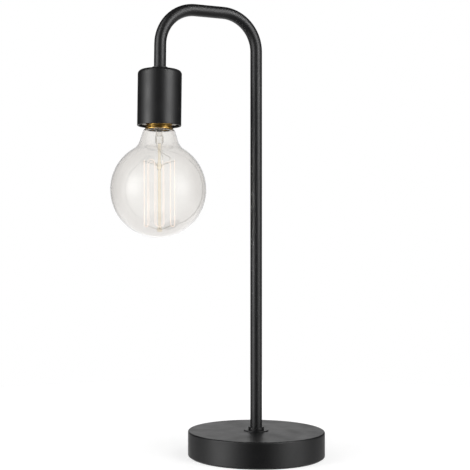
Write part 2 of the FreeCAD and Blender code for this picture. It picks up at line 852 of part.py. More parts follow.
def stem_outline(inset):
    outer = stem_diameter / 2 - inset
    flare = flare_diameter / 2 - inset
    top = flare_level + flare_height
    bend = stem_diameter
    return turned([(0, stem_end + inset), (outer, stem_end + inset, outer / 2), (outer, flare_level, bend),
                   (flare, top - flare_lip), (flare, top), (0, top)])


def bulb_stem():
    glass = stem_outline(0).cut(stem_outline(stem_wall))
    return glass.cut(lead_wires())


def button(level):
    radius = button_diameter / 2
    low = level - button_height / 2
    high = level + button_height / 2
    return turned([(0, low), (radius, low, button_round), (radius, high, button_round), (0, high)])


def filament_rod():
    rod = cylinder(rod_diameter / 2, rod_end, stem_end)
    return join([rod, button(upper_button), button(lower_button)]).cut(upper_hooks()).cut(lower_hooks())


def strand_angle(index):
    return cage_turn + index * 360 / strand_count


def hook(angle, root_level, tip_level):
    radius = cage_diameter / 2
    root = button_diameter / 2 - hook_root
    points = [at_angle(root, angle, root_level), at_angle(radius - hook_rise, angle, tip_level),
              at_angle(radius + hook_tail, angle, tip_level)]
    return tube(points, [0, hook_corner, 0], hook_diameter)


def upper_hooks():
    angles = [strand_angle(i + 0.5) for i in range(1, strand_count - 1, 2)]
    return Part.makeCompound([hook(angle, upper_button, upper_hook_level) for angle in angles])


def lower_hooks():
    angles = [strand_angle(i + 0.5) for i in range(0, strand_count, 2)]
    return Part.makeCompound([hook(angle, lower_button, lower_hook_level) for angle in angles])


def lead(index, fan):
    radius = cage_diameter / 2
    angle = strand_angle(index)
    end = upper_hook_level + joint_gap
    points = [at_angle(lead_spread, angle + fan, stem_end + lead_root),
              at_angle(lead_spread, angle + fan, stem_end - lead_drop),
              at_angle(radius, angle, end + lead_tail), at_angle(radius, angle, end)]
    return tube(points, [0, lead_corner, lead_corner, 0], lead_diameter)


def lead_wires():
    return Part.makeCompound([lead(0, lead_fan), lead(strand_count - 1, -lead_fan)])


def filament():
    # down from the first lead, round every hook in turn, and up to the second lead
    radius = cage_diameter / 2
    loop = (filament_diameter + hook_diameter) / 2 + hook_play
    high = upper_hook_level + loop
    low = lower_hook_level - loop
    points = [at_angle(radius, strand_angle(0), upper_hook_level)]
    for i in range(strand_count - 1):
        level = high if i % 2 else low
        points += [at_angle(radius, strand_angle(i), level), at_angle(radius, strand_angle(i + 1), level)]
    points.append(at_angle(radius, strand_angle(strand_count - 1), upper_hook_level))
    radii = [0] + [strand_bend] * (len(points) - 2) + [0]
    return tube(points, radii, filament_diameter)


# Every node, by the frame it is modelled in

base_parts = [base_cover, base_weight, base_plate, base_pad, plate_screws, cable_bush, foot_washer,
              stem_pipe]
wiring_parts = [terminal_block, terminal_sleeves, clamp_screws, block_screw, live_wire, neutral_wire,
                earth_wire]
head_parts = [lamp_cup, holder_bracket, bracket_screws, earth_screw, holder_body, holder_shell,
              centre_contact, holder_rivets, terminal_posts, post_screws]
bulb_parts = [bulb_glass, bulb_cap, cap_insulator, cap_contact, bulb_stem, filament_rod, upper_hooks,
              lower_hooks, lead_wires, filament]


def foot_fastenings():
    return {
        "foot_collar": collar(foot_washer_top),
        "foot_nipple": nipple(foot_nipple_end, foot_pipe_end + nipple_grip),
        "foot_lock_washer": lock_washer(pocket_ceiling),
        "foot_nut": hex_nut(foot_nut_top),
    }


def head_fastenings():
    return {
        "head_collar": collar(cup_top),
        "head_nipple": nipple(head_nipple_end, nipple_grip),
        "head_lock_washer": lock_washer(bracket_plate),
        "head_nut": hex_nut(head_nut_top),
    }


def build():
    nodes = {part.__name__: part() for part in base_parts + wiring_parts}
    nodes.update(foot_fastenings())
    on_the_head = {part.__name__: part() for part in head_parts}
    on_the_head.update(head_fastenings())
    globe_centre = Vector(0, 0, globe_level)
    on_the_head.update({part.__name__: part().translated(globe_centre) for part in bulb_parts})
    nodes.update({name: on_head(solid) for name, solid in on_the_head.items()})
    return nodes


os.makedirs("parts", exist_ok=True)
for name, shape in build().items():
    shape.exportStep(f"parts/{name}.step")
    state = "valid" if shape.isValid() else "NOT VALID"
    print(name, len(shape.Solids), "solid(s)", round(shape.Volume), "mm3", state)
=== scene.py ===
import json
import math

import bmesh
import bpy
from mathutils import Matrix, Vector


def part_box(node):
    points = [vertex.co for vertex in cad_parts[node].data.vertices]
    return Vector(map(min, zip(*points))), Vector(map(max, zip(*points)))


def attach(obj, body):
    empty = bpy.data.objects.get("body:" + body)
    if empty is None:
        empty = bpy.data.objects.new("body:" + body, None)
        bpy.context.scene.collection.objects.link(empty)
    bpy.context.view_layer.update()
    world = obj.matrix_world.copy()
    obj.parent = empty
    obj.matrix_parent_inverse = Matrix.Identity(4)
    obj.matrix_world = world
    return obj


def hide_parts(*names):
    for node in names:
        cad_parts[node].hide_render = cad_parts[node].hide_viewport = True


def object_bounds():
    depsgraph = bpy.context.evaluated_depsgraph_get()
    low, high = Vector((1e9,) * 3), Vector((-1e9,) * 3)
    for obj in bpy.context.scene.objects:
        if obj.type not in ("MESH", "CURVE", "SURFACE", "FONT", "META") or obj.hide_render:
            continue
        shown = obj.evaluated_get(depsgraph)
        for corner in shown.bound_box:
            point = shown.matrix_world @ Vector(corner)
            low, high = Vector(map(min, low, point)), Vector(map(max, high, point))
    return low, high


# A bent pipe table lamp with a clear globe lamp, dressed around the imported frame. Metres, +Z up.

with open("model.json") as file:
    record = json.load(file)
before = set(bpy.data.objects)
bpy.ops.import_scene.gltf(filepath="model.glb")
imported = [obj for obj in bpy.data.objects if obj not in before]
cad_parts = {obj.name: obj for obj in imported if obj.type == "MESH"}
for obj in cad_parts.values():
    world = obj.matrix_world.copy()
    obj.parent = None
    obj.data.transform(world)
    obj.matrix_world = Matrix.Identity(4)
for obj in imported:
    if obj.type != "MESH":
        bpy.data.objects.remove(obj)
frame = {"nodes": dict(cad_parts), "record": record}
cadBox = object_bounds()
nodes = frame["nodes"]
mm = 0.001
weldGap = 1e-6  # points closer than this become one
print("frame loaded:", len(nodes), "nodes")


# Colours and nodes

noiseSpan = (0.3, 0.7)  # nearly all of a noise lies between these
fineDetail = 3  # octaves of the noise behind a roughness
toneWidth = {"metal": 3, "dull": 4}  # how much wider the patches of colour are than the grain


def hexColour(text):  # an sRGB hex value, turned into the linear numbers that sockets take
    channels = [int(text[start:start + 2], 16) / 255 for start in (0, 2, 4)]
    linear = [c / 12.92 if c <= 0.04045 else ((c + 0.055) / 1.055) ** 2.4 for c in channels]
    return (*linear, 1.0)


def addNode(tree, kind, settings=None, links=None):
    node = tree.nodes.new("ShaderNode" + kind)
    for name, value in (settings or {}).items():
        if isinstance(name, str) and name in node.bl_rna.properties:
            setattr(node, name, value)
        else:
            node.inputs[name].default_value = value
    for name, socket in (links or {}).items():
        tree.links.new(socket, node.inputs[name])
    return node


def startMaterial(name):  # an empty material, and the place on the object that its patterns read
    material = bpy.data.materials.new(name)
    material.use_nodes = True
    tree = material.node_tree
    tree.nodes.clear()
    return material, tree, addNode(tree, "TexCoord").outputs["Object"]


def grain(tree, place, sizeMm, detail=2.0, low=0.0, high=1.0):  # soft noise of a real size
    noise = addNode(tree, "TexNoise", {"Scale": 1 / (sizeMm * mm), "Detail": detail},
                    {"Vector": place})
    least, most = noiseSpan
    spread = addNode(tree, "MapRange",
                     {"From Min": least, "From Max": most, "To Min": low, "To Max": high},
                     {"Value": noise.outputs["Fac"]})
    return spread.outputs["Result"]


def twoTones(tree, factor, first, second):
    mix = addNode(tree, "Mix", {"data_type": "RGBA"}, {"Factor": factor})
    mix.inputs["A"].default_value = hexColour(first)
    mix.inputs["B"].default_value = hexColour(second)
    return mix.outputs["Result"]


def relief(tree, height, depthMm):
    bump = addNode(tree, "Bump", {"Distance": depthMm * mm, "Strength": 1.0}, {"Height": height})
    return bump.outputs["Normal"]


def finishMaterial(material, tree, settings, links):
    shader = addNode(tree, "BsdfPrincipled", settings, links)
    addNode(tree, "OutputMaterial", links={"Surface": shader.outputs["BSDF"]})
    return material


def directRays(tree):  # the rays' kinds, and 1 for those that come from the camera or through glass
    rays = addNode(tree, "LightPath")
    direct = addNode(tree, "Math", {"operation": "MAXIMUM"},
                     {0: rays.outputs["Is Camera Ray"], 1: rays.outputs["Is Transmission Ray"]})
    return rays, direct.outputs["Value"]


# Finishes

coatLook = {"colour": "0e0e0f", "fleck": "161617", "fleckMm": 0.5, "shine": 0.42, "rough": 0.41,
            "roughSpread": 0.04, "cloudMm": 18, "peelMm": 1.6, "peelDepthMm": 0.02}


# black polyester powder, baked on steel: orange peel that softens each highlight
def satinPowderCoat():
    look = coatLook
    material, tree, place = startMaterial("satinPowderCoat")
    rough, spread = look["rough"], look["roughSpread"]
    cloud = grain(tree, place, look["cloudMm"], fineDetail, rough - spread, rough + spread)
    colour = twoTones(tree, grain(tree, place, look["fleckMm"]), look["colour"], look["fleck"])
    bump = relief(tree, grain(tree, place, look["peelMm"]), look["peelDepthMm"])
    return finishMaterial(material, tree, {"Specular IOR Level": look["shine"]},
                          {"Base Color": colour, "Roughness": cloud, "Normal": bump})


glassLook = {"ior": 1.5, "rough": 0.0, "waveMm": 22, "waveDepthMm": 0.03, "paintedShadeFacingRange": (0.08, 0.42)}


# soda-lime glass, blown or drawn: almost white, with painted shade that greys its colour where the
# eye looks along its wall, standing in for the light its faces reflect away there
def clearGlass(name, tint, paintedRimShadeColour):
    look = glassLook
    material, tree, place = startMaterial(name)
    bump = relief(tree, grain(tree, place, look["waveMm"]), look["waveDepthMm"])
    # painted shade: the colour turns to the rim's grey as the surface turns away from the eye
    facing = addNode(tree, "LayerWeight", {"Blend": 0.5}).outputs["Facing"]
    start, end = look["paintedShadeFacingRange"]
    share = addNode(tree, "MapRange", {"From Min": start, "From Max": end}, {"Value": facing})
    colour = twoTones(tree, share.outputs["Result"], tint, paintedRimShadeColour)
    settings = {"Roughness": look["rough"], "IOR": look["ior"], "Transmission Weight": 1.0}
    return finishMaterial(material, tree, settings, {"Base Color": colour, "Normal": bump})


def metalFinish(name, first, second, rough, spread, grainMm, depthMm):
    material, tree, place = startMaterial(name)
    colour = twoTones(tree, grain(tree, place, grainMm * toneWidth["metal"]), first, second)
    roughness = grain(tree, place, grainMm, fineDetail, rough - spread, rough + spread)
    bump = relief(tree, grain(tree, place, grainMm), depthMm)
    return finishMaterial(material, tree, {"Metallic": 1.0},
                          {"Base Color": colour, "Roughness": roughness, "Normal": bump})


def dullFinish(name, first, second, rough, grainMm, depthMm, shine=0.5):
    material, tree, place = startMaterial(name)
    colour = twoTones(tree, grain(tree, place, grainMm * toneWidth["dull"]), first, second)
    bump = relief(tree, grain(tree, place, grainMm), depthMm)
    return finishMaterial(material, tree, {"Roughness": rough, "Specular IOR Level": shine},
                          {"Base Color": colour, "Normal": bump})


filamentLook = {"wire": "c4b8ae", "rough": 0.35, "glow": "fff1ea", "strength": 0.68}


# coiled tungsten wire, dimmed so far that it is only a pale cream
def glowingTungsten():
    look = filamentLook
    material, tree = startMaterial("palestTungstenCoil")[:2]
    settings = {"Base Color": hexColour(look["wire"]), "Metallic": 1.0, "Roughness": look["rough"],
                "Emission Color": hexColour(look["glow"]), "Emission Strength": look["strength"]}
    return finishMaterial(material, tree, settings, {})


# the rod's second colour, fbf0da, is a painted shade at its rim
warmRod = clearGlass("warmGlassRod", "fff9ea", "fbf0da")  # drawn glass, faintly cream in the cage
finishes = {
    "black_coat": satinPowderCoat(),
    # poured in sand and left as cast: dull, with a coarse grain
    "cast_iron": dullFinish("sandCastIron", "3a3a3a", "4a4744", rough=0.75, grainMm=0.9,
                            depthMm=0.15),
    # plated bright on steel: a cool silver
    "zinc_plate": metalFinish("brightZincPlate", "b9bcc0", "a7abb2", rough=0.28, spread=0.06,
                              grainMm=0.8, depthMm=0.004),
    # cut from sheet: black pores without gloss
    "foam_pad": dullFinish("closedCellFoam", "141414", "1d1d1d", rough=0.85, grainMm=0.6,
                           depthMm=0.1, shine=0.3),
    # moulded: near black with a faint sheen
    "black_rubber": dullFinish("mouldedRubber", "161616", "1c1c1c", rough=0.6, grainMm=0.5,
                               depthMm=0.02, shine=0.35),
    # moulded without pigment: a warm white
    "white_nylon": dullFinish("naturalNylon", "e6e3d8", "dedacc", rough=0.4, grainMm=1.2,
                              depthMm=0.01),
    # turned on a lathe: warm yellow
    "brass": metalFinish("turnedBrass", "c69a4e", "b98c42", rough=0.3, spread=0.06, grainMm=0.5,
                         depthMm=0.004),
    # rolled from sheet and lacquered: browner and duller than turned brass
    "brass_cap": metalFinish("rolledBrassCap", "b4914f", "9c7a3c", rough=0.34, spread=0.08,
                             grainMm=0.7, depthMm=0.006),
    # plated over brass: a silver with a little warmth
    "nickel": metalFinish("nickelPlate", "bdb8ae", "aaa59b", rough=0.25, spread=0.05, grainMm=0.6,
                          depthMm=0.004),
    # dipped in glaze and fired: glossy white
    "porcelain": dullFinish("glazedPorcelain", "ece8df", "e4dfd3", rough=0.18, grainMm=2.5,
                            depthMm=0.02),
    # extruded round the wires: soft colours with a low gloss, and the earth's in two
    "brown_insulation": dullFinish("brownSilicone", "54301c", "4a2917", rough=0.5, grainMm=0.5,
                                   depthMm=0.01),
    "blue_insulation": dullFinish("blueSilicone", "2a4f9c", "23458c", rough=0.5, grainMm=0.5,
                                  depthMm=0.01),
    "green_insulation": dullFinish("greenSilicone", "5f8f2e", "c4b92d", rough=0.5, grainMm=1.5,
                                   depthMm=0.01),
    # blown and fire-polished: it shows mostly what lies behind it, and its second colour, eeecea,
    # is a painted shade at the rim
    "clear_glass": clearGlass("blownClearGlass", "f8f7f5", "eeecea"),
    # pressed black glass: dark under a sharp gloss
    "black_glass": dullFinish("blackVitrite", "121214", "18181a", rough=0.12, grainMm=1.5,
                              depthMm=0.01),
    # drawn, then dulled by the sealing flame: a grey without sharp glints
    "wire_metal": metalFinish("nickelLeadWire", "b3ada2", "9c968c", rough=0.42, spread=0.05,
                              grainMm=0.3, depthMm=0.002),
    "filament_wire": glowingTungsten(),
}

slotOf = {row["node"]: row["material_slot"] for row in frame["record"]["subparts"]}
for nodeName, node in nodes.items():
    node.data.materials.clear()
    node.data.materials.append(finishes[slotOf[nodeName]])
print("finishes:", len(finishes))


# Pieces of the globe lamp, in its own frame: the globe's centre, +Z up to the cap, millimetres

lampLook = {"globeRadius": 47.5,
            "lean": 1.0,  # degrees that the stem and its cage are sealed out of line
            "pivot": 66}  # the height round which they lean
lampAxis = Vector(frame["record"]["behaviour"]["joints"][0]["axis"])
lampLean = math.atan2(-lampAxis.x, -lampAxis.z)
globeRadius = lampLook["globeRadius"]
globeLow = Vector(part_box("bulb_glass")[0])
globeMiddle = Vector((globeLow.x + globeRadius * mm, 0, globeLow.z + globeRadius * mm))
headTurn = Matrix.Rotation(lampLean, 4, "Y")
lampFrame = Matrix.Translation(globeMiddle) @ headTurn @ Matrix.Scale(mm, 4)
toPivot = Matrix.Translation((0, 0, lampLook["pivot"]))
stemTurn = Matrix.Rotation(-math.radians(lampLook["lean"]), 4, "Y")
innerFrame = lampFrame @ toPivot @ stemTurn @ toPivot.inverted()


def newObject(name, data):
    made = bpy.data.objects.new(name, data)
    bpy.context.scene.collection.objects.link(made)
    return made


def addPiece(name, sheet, nodeNames, material, place=innerFrame, body="bulb", crease=40):
    bmesh.ops.remove_doubles(sheet, verts=sheet.verts, dist=weldGap)
    bmesh.ops.recalc_face_normals(sheet, faces=sheet.faces)
    bmesh.ops.transform(sheet, matrix=place, verts=sheet.verts)
    mesh = bpy.data.meshes.new(name)
    sheet.to_mesh(mesh)
    sheet.free()
    mesh.shade_smooth()
    mesh.set_sharp_from_angle(angle=math.radians(crease))
    mesh.materials.append(material)
    piece = newObject(name, mesh)
    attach(piece, body)
    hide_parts(*nodeNames)
    return piece


def turnRound(sheet, steps):  # the line that is drawn so far, turned all the way round +Z
    outline = sheet.verts[:] + sheet.edges[:]
    bmesh.ops.spin(sheet, geom=outline, cent=(0, 0, 0), axis=(0, 0, 1), angle=2 * math.pi,
                   steps=steps, use_merge=True)


roundingSteps = 4  # of each rounded corner of a turned piece


def turnedSheet(corners, steps):  # from a closed line of (radius, height, rounding)
    sheet = bmesh.new()
    points = [sheet.verts.new((corner[0], 0, corner[1])) for corner in corners]
    for start, end in zip(points, points[1:] + points[:1]):
        sheet.edges.new((start, end))
    for point, corner in zip(points, corners):
        if len(corner) > 2:
            bmesh.ops.bevel(sheet, geom=[point], offset=corner[2], segments=roundingSteps,
                            profile=0.5, affect="VERTICES", material=-1)
    turnRound(sheet, steps)
    return sheet


def smoothStep(value):
    share = min(max(value, 0), 1)
    return share * share * (3 - 2 * share)


capLook = {"level": 59.6, "rim": 13.9, "rimHeight": 1.2, "rimRoundings": (0.12, 0.4), "slope": 0.85,
           "radius": 13.05, "wall": 0.4, "threadStart": 62.2, "threadEnd": 79.4, "pitch": 3.63,
           "depth": 0.85, "fade": 2.2, "top": 80.6, "topRounding": 1.0, "lip": 82.0, "mouth": 9.0,
           "rows": 84, "steps": 96}


# thin brass sheet with the coarse round thread rolled into it, so both of its faces wave
def rolledCap():
    look = capLook
    inner = look["radius"] - look["wall"]
    rimTop = look["level"] + look["rimHeight"]
    lowRounding, highRounding = look["rimRoundings"]
    run = look["threadEnd"] - look["threadStart"]
    heights = [look["threadStart"] + run * i / look["rows"] for i in range(look["rows"] + 1)]
    corners = [(inner, look["level"]), (look["rim"], look["level"], lowRounding),
               (look["rim"], rimTop, highRounding), (look["radius"], rimTop + look["slope"])]
    corners += [(look["radius"], height) for height in heights]
    corners += [(look["radius"], look["top"], look["topRounding"]), (look["mouth"], look["lip"]),
                (look["mouth"], look["lip"] - look["wall"]), (inner, look["top"] - look["wall"])]
    corners += [(inner, height) for height in reversed(heights)]
    sheet = turnedSheet(corners, look["steps"])
    for point in sheet.verts:
        turn = math.atan2(point.co.y, point.co.x) / (2 * math.pi)
        valley = 0.5 - 0.5 * math.cos(2 * math.pi * (point.co.z / look["pitch"] - turn))
        ends = (point.co.z - look["threadStart"], look["threadEnd"] - point.co.z)
        depth = look["depth"] * valley * smoothStep(min(ends) / look["fade"])
        point.co.xy *= 1 - depth / point.co.xy.length
    return addPiece("rolledCap", sheet, ["bulb_cap"], finishes["brass_cap"], lampFrame)


globeLook = {"wall": 0.9, "ballSteps": 72, "fillet": 14, "filletSteps": 12, "taper": 17,
             "neckRadius": 17.5, "neckLevel": 53, "shoulder": 2.6, "shoulderSteps": 8,
             "crown": 59.45, "throat": 11.6, "top": 68, "steps": 144}


def arcTo(sheet, start, centre, end, steps):  # edges along an arc, from a vertex to the end's place
    first, last = start.co - centre, end - centre
    turn = math.atan2(first.cross(last).y, first.dot(last))
    made = bmesh.ops.spin(sheet, geom=[start], cent=centre, axis=(0, 1, 0), angle=turn, steps=steps)
    return next(item for item in made["geom_last"] if isinstance(item, bmesh.types.BMVert))


def lineTo(sheet, start, end):
    point = sheet.verts.new(end)
    sheet.edges.new((start, point))
    return point


def glassLine(sheet, inset):  # one face of the globe's glass, from its lowest point into the cap
    look = globeLook
    taper = math.radians(look["taper"])
    normal = Vector((math.cos(taper), 0, math.sin(taper)))
    side = Vector((-math.sin(taper), 0, math.cos(taper)))
    waist = Vector((look["neckRadius"], 0, look["neckLevel"]))
    offset = waist + normal * look["fillet"]
    along = offset.dot(side)
    reach = globeRadius + look["fillet"]
    slide = math.sqrt(along ** 2 - offset.length_squared + reach ** 2) - along
    fillet = offset + side * slide
    within = waist - normal * look["shoulder"]
    shoulder = within + side * ((look["crown"] - look["shoulder"] - within.z) / side.z)
    bend = look["shoulder"] - inset
    throat = look["throat"] - inset
    filletEnd = fillet - normal * (look["fillet"] + inset)
    point = sheet.verts.new((0, 0, inset - globeRadius))
    ballEnd = fillet.normalized() * (globeRadius - inset)
    point = arcTo(sheet, point, Vector(), ballEnd, look["ballSteps"])
    point = arcTo(sheet, point, fillet, filletEnd, look["filletSteps"])
    point = lineTo(sheet, point, shoulder + normal * bend)
    crown = shoulder + Vector((0, 0, bend))
    point = arcTo(sheet, point, shoulder, crown, look["shoulderSteps"])
    point = lineTo(sheet, point, (throat, 0, look["crown"] - inset))
    return lineTo(sheet, point, (throat, 0, look["top"]))


def blownGlobe():  # the clear envelope, whose conical neck rounds straight into the cap
    look = globeLook
    sheet = bmesh.new()
    sheet.edges.new([glassLine(sheet, inset) for inset in (0, look["wall"])])
    turnRound(sheet, look["steps"])
    glass = finishes["clear_glass"]
    piece = addPiece("blownGlobe", sheet, ["bulb_glass"], glass, lampFrame)
    piece.visible_shadow = False  # clear glass casts almost no shadow
    return piece


stemLook = {"end": 44.8, "endRounding": 1.6, "radius": 4.0, "wall": 0.9, "pressTop": 52.5,
            "pressEdge": 4, "flareLevel": 60, "flareRounding": 3.0, "flare": 10.6, "top": 67,
            "lip": 2.0, "lipRounding": 0.8,
            "innerRoundings": (0.5, 2.0, 1.2),  # under the lip, in the flare and over the press
            "squeeze": 0.45, "widen": 0.03, "squeezeFrom": 3, "steps": 48}


# the glass stem: a tube with a flare, pinched flat and solid round the leads at its lower end
def pressedStem():
    look = stemLook
    hollow = look["radius"] - look["wall"]
    inside = look["flare"] - look["wall"]
    lip = look["top"] - look["lip"]
    underLip, inFlare, overPress = look["innerRoundings"]
    corners = [(0, look["end"]), (look["radius"], look["end"], look["endRounding"]),
               (look["radius"], look["pressTop"] - look["pressEdge"]),
               (look["radius"], look["pressTop"]),
               (look["radius"], look["flareLevel"], look["flareRounding"]),
               (look["flare"], lip, look["lipRounding"]), (look["flare"], look["top"]),
               (inside, look["top"]), (inside, lip, underLip),
               (hollow, look["flareLevel"] + look["wall"], inFlare),
               (hollow, look["pressTop"], overPress), (0, look["pressTop"])]
    sheet = turnedSheet(corners, look["steps"])
    across = Matrix.Rotation(-math.radians(cageLook["turn"] + leadLook["fan"]), 4, "Z")
    bmesh.ops.transform(sheet, matrix=across, verts=sheet.verts)
    start = look["squeezeFrom"]
    for point in sheet.verts:
        height = point.co.z - look["end"] - start
        share = 1 - smoothStep(height / (look["pressTop"] - look["end"] - start))
        point.co.x *= 1 + look["widen"] * share
        point.co.y *= 1 - look["squeeze"] * share
    bmesh.ops.transform(sheet, matrix=across.inverted(), verts=sheet.verts)
    piece = addPiece("pressedStem", sheet, ["bulb_stem"], finishes["clear_glass"])
    piece.visible_shadow = False
    return piece


rodLook = {"radius": 1.4, "end": -41.6, "top": 44.9, "buttons": (-39.6, 23.5), "swell": 1.2,
           "shoulder": 0.6, "half": 2.0, "melt": 0.8, "steps": 32}


def glassRod():  # the drawn rod on the globe's axis, with two melted buttons that hold the hooks
    look = rodLook
    radius, half, melt = look["radius"], look["half"], look["melt"]
    shoulder = radius + look["shoulder"] * look["swell"]
    corners = [(0, look["end"])]
    for number, level in enumerate(look["buttons"]):
        if number:
            corners.append((radius, level - 2 * half, melt))
        corners += [(shoulder, level - half, melt), (radius + look["swell"], level, melt),
                    (shoulder, level + half, melt), (radius, level + 2 * half, melt)]
    corners += [(radius, look["top"]), (0, look["top"])]
    sheet = turnedSheet(corners, look["steps"])
    piece = addPiece("glassRod", sheet, ["filament_rod"], warmRod)
    piece.visible_shadow = False
    return piece


cageLook = {"radius": 15.5, "turn": -67.3, "strands": 12, "bend": 3.4, "high": 28.75, "low": -36.3,
            "end": 28.0, "wire": 0.28, "coil": 0.85, "pitch": 0.8, "sides": 5, "steps": 10,
            "weldShare": 20}  # turns join where they lie closer than the wire's thickness over this
leadLook = {"wire": 0.4, "fan": 45, "bend": 0.9, "end": 28.1,
            # each stop's way along the press, out from it and up
            "first": [(2.6, 0, 67), (2.6, 0, 46.5), (2.9, 0.4, 43.9), (1.9, 1.8, 42.9),
                      (2.8, 1.8, 40.9), (2.4, 2.0, 36.6), (10.96, 10.96, 30.8)],
            "second": [(-2.6, 0, 67), (-2.6, 0, 45.5), (-2.4, 1.8, 41.8), (1.0, 2.8, 38.2),
                       (4.01, 14.97, 30.8)]}
curveSteps = 8  # between two knots of a wire's line
wireRoundness = 3  # extra rows of faces round a drawn wire
roundHandle = 0.5523  # the handle's share that makes a bend of 90 degrees round


def cagePoint(index, height, radius=None):
    turn = math.radians(cageLook["turn"] + index * 360 / cageLook["strands"])
    radius = cageLook["radius"] if radius is None else radius
    return Vector((radius * math.cos(turn), radius * math.sin(turn), height))


def roundedLine(curve, points, bend):  # a Bezier spline with a round bend at each inner point
    stops = [points[0]]
    for before, corner, after in zip(points, points[1:], points[2:]):
        stops += [corner + (before - corner).normalized() * bend,
                  corner + (after - corner).normalized() * bend]
    stops.append(points[-1])
    line = curve.splines.new("BEZIER")
    line.bezier_points.add(len(stops) - 1)
    for number, stop in enumerate(stops):
        knot = line.bezier_points[number]
        knot.co = stop
        knot.handle_left_type = knot.handle_right_type = "FREE"
        knot.handle_left = knot.handle_right = stop
    for number, corner in enumerate(points[1:-1]):
        entry, leave = line.bezier_points[2 * number + 1], line.bezier_points[2 * number + 2]
        entry.handle_right = entry.co.lerp(corner, roundHandle)
        leave.handle_left = leave.co.lerp(corner, roundHandle)


def newCurve(name, routes, bend):
    curve = bpy.data.curves.new(name, "CURVE")
    curve.dimensions = "3D"
    curve.twist_mode = "MINIMUM"
    curve.resolution_u = curveSteps
    for route in routes:
        roundedLine(curve, route, bend)
    return newObject(name, curve)


def finishedSheet(holder):  # an object's shape, with its curve or its modifiers worked out
    graph = bpy.context.evaluated_depsgraph_get()
    sheet = bmesh.new()
    sheet.from_mesh(bpy.data.meshes.new_from_object(holder.evaluated_get(graph)))
    return sheet


def drawnWire(routes, bend, thickness):  # round wires along the routes, with closed ends
    path = newCurve("wirePath", routes, bend)
    path.data.bevel_depth = thickness / 2
    path.data.bevel_resolution = wireRoundness
    path.data.use_fill_caps = True
    sheet = finishedSheet(path)
    bpy.data.objects.remove(path)
    return sheet


def coilTurn():  # one turn of the coil, along +X
    look = cageLook
    coil = bmesh.new()
    bmesh.ops.create_circle(coil, segments=look["sides"], radius=look["wire"] / 2)
    bmesh.ops.translate(coil, verts=coil.verts, vec=(0, (look["coil"] - look["wire"]) / 2, 0))
    ring = coil.verts[:] + coil.edges[:]
    bmesh.ops.spin(coil, geom=ring, cent=(0, 0, 0), axis=(1, 0, 0), angle=2 * math.pi,
                   steps=look["steps"], dvec=(look["pitch"] / look["steps"], 0, 0))
    mesh = bpy.data.meshes.new("filamentTurn")
    coil.to_mesh(mesh)
    coil.free()
    return newObject("filamentTurn", mesh)


# fine wire wound into a long open coil, which runs down and up round all the hooks
def coiledFilament():
    look = cageLook
    last = look["strands"] - 1
    route = [cagePoint(0, look["end"])]
    for index in range(last):
        height = look["high"] if index % 2 else look["low"]
        route += [cagePoint(index, height), cagePoint(index + 1, height)]
    route.append(cagePoint(last, look["end"]))
    path = newCurve("filamentPath", [route], look["bend"])
    coil = coilTurn()
    turns = coil.modifiers.new("turns", "ARRAY")
    turns.count = int(path.data.splines[0].calc_length() / look["pitch"])
    turns.use_relative_offset = False
    turns.use_constant_offset = True
    turns.constant_offset_displace = (look["pitch"], 0, 0)
    turns.use_merge_vertices = True
    turns.merge_threshold = look["wire"] / look["weldShare"]
    bend = coil.modifiers.new("bend", "CURVE")
    bend.object = path
    sheet = finishedSheet(coil)
    bmesh.ops.holes_fill(sheet, edges=[edge for edge in sheet.edges if edge.is_boundary])
    for spare in (coil, path):
        bpy.data.objects.remove(spare)
    return addPiece("coiledFilament", sheet, ["filament"],
                    finishes["filament_wire"], crease=180)


def feedWires():  # both leads, from the cap through the stem's press to the filament's ends
    look = leadLook
    turn = math.radians(cageLook["turn"] + look["fan"])
    wide = Vector((math.cos(turn), math.sin(turn), 0))  # along the press's flat side
    thin = Vector((math.sin(turn), -math.cos(turn), 0))
    routes = []
    for stops, index in ((look["first"], 0), (look["second"], cageLook["strands"] - 1)):
        route = [wide * across + thin * out + Vector((0, 0, height))
                 for across, out, height in stops]
        routes.append(route + [cagePoint(index, look["end"])])
    sheet = drawnWire(routes, look["bend"], look["wire"])
    return addPiece("feedWires", sheet, ["lead_wires"], finishes["wire_metal"])


hookLook = {"wire": 0.36, "root": 1.4, "inner": 12.9, "outer": 16.4, "bend": 1.5,
            "upper": {"node": "upper_hooks", "first": 1, "levels": (23.5, 28.0)},
            "lower": {"node": "lower_hooks", "first": 0, "levels": (-39.6, -35.55)}}


def wireHooks(end):  # fine wires, melted into a button and bent level under the filament's loops
    look = hookLook
    row = look[end]
    root, tip = row["levels"]
    turns = [index + 0.5 for index in range(row["first"], cageLook["strands"] - row["first"], 2)]
    routes = [[cagePoint(turn, root, look["root"]), cagePoint(turn, tip, look["inner"]),
               cagePoint(turn, tip, look["outer"])] for turn in turns]
    sheet = drawnWire(routes, look["bend"], look["wire"])
    return addPiece(end + "WireHooks", sheet, [row["node"]], finishes["wire_metal"])


def upperHooks():
    return wireHooks("upper")


def lowerHooks():
    return wireHooks("lower")


# The base's cover

coverLook = {"roundingMm": 1.1, "steps": 5,
             "flatWithin": 0.1,  # degrees between faces that become one
             "rimDepth": 1e-5, "rimWidth": 1e-4}  # how near an edge lies to the lower outer rim


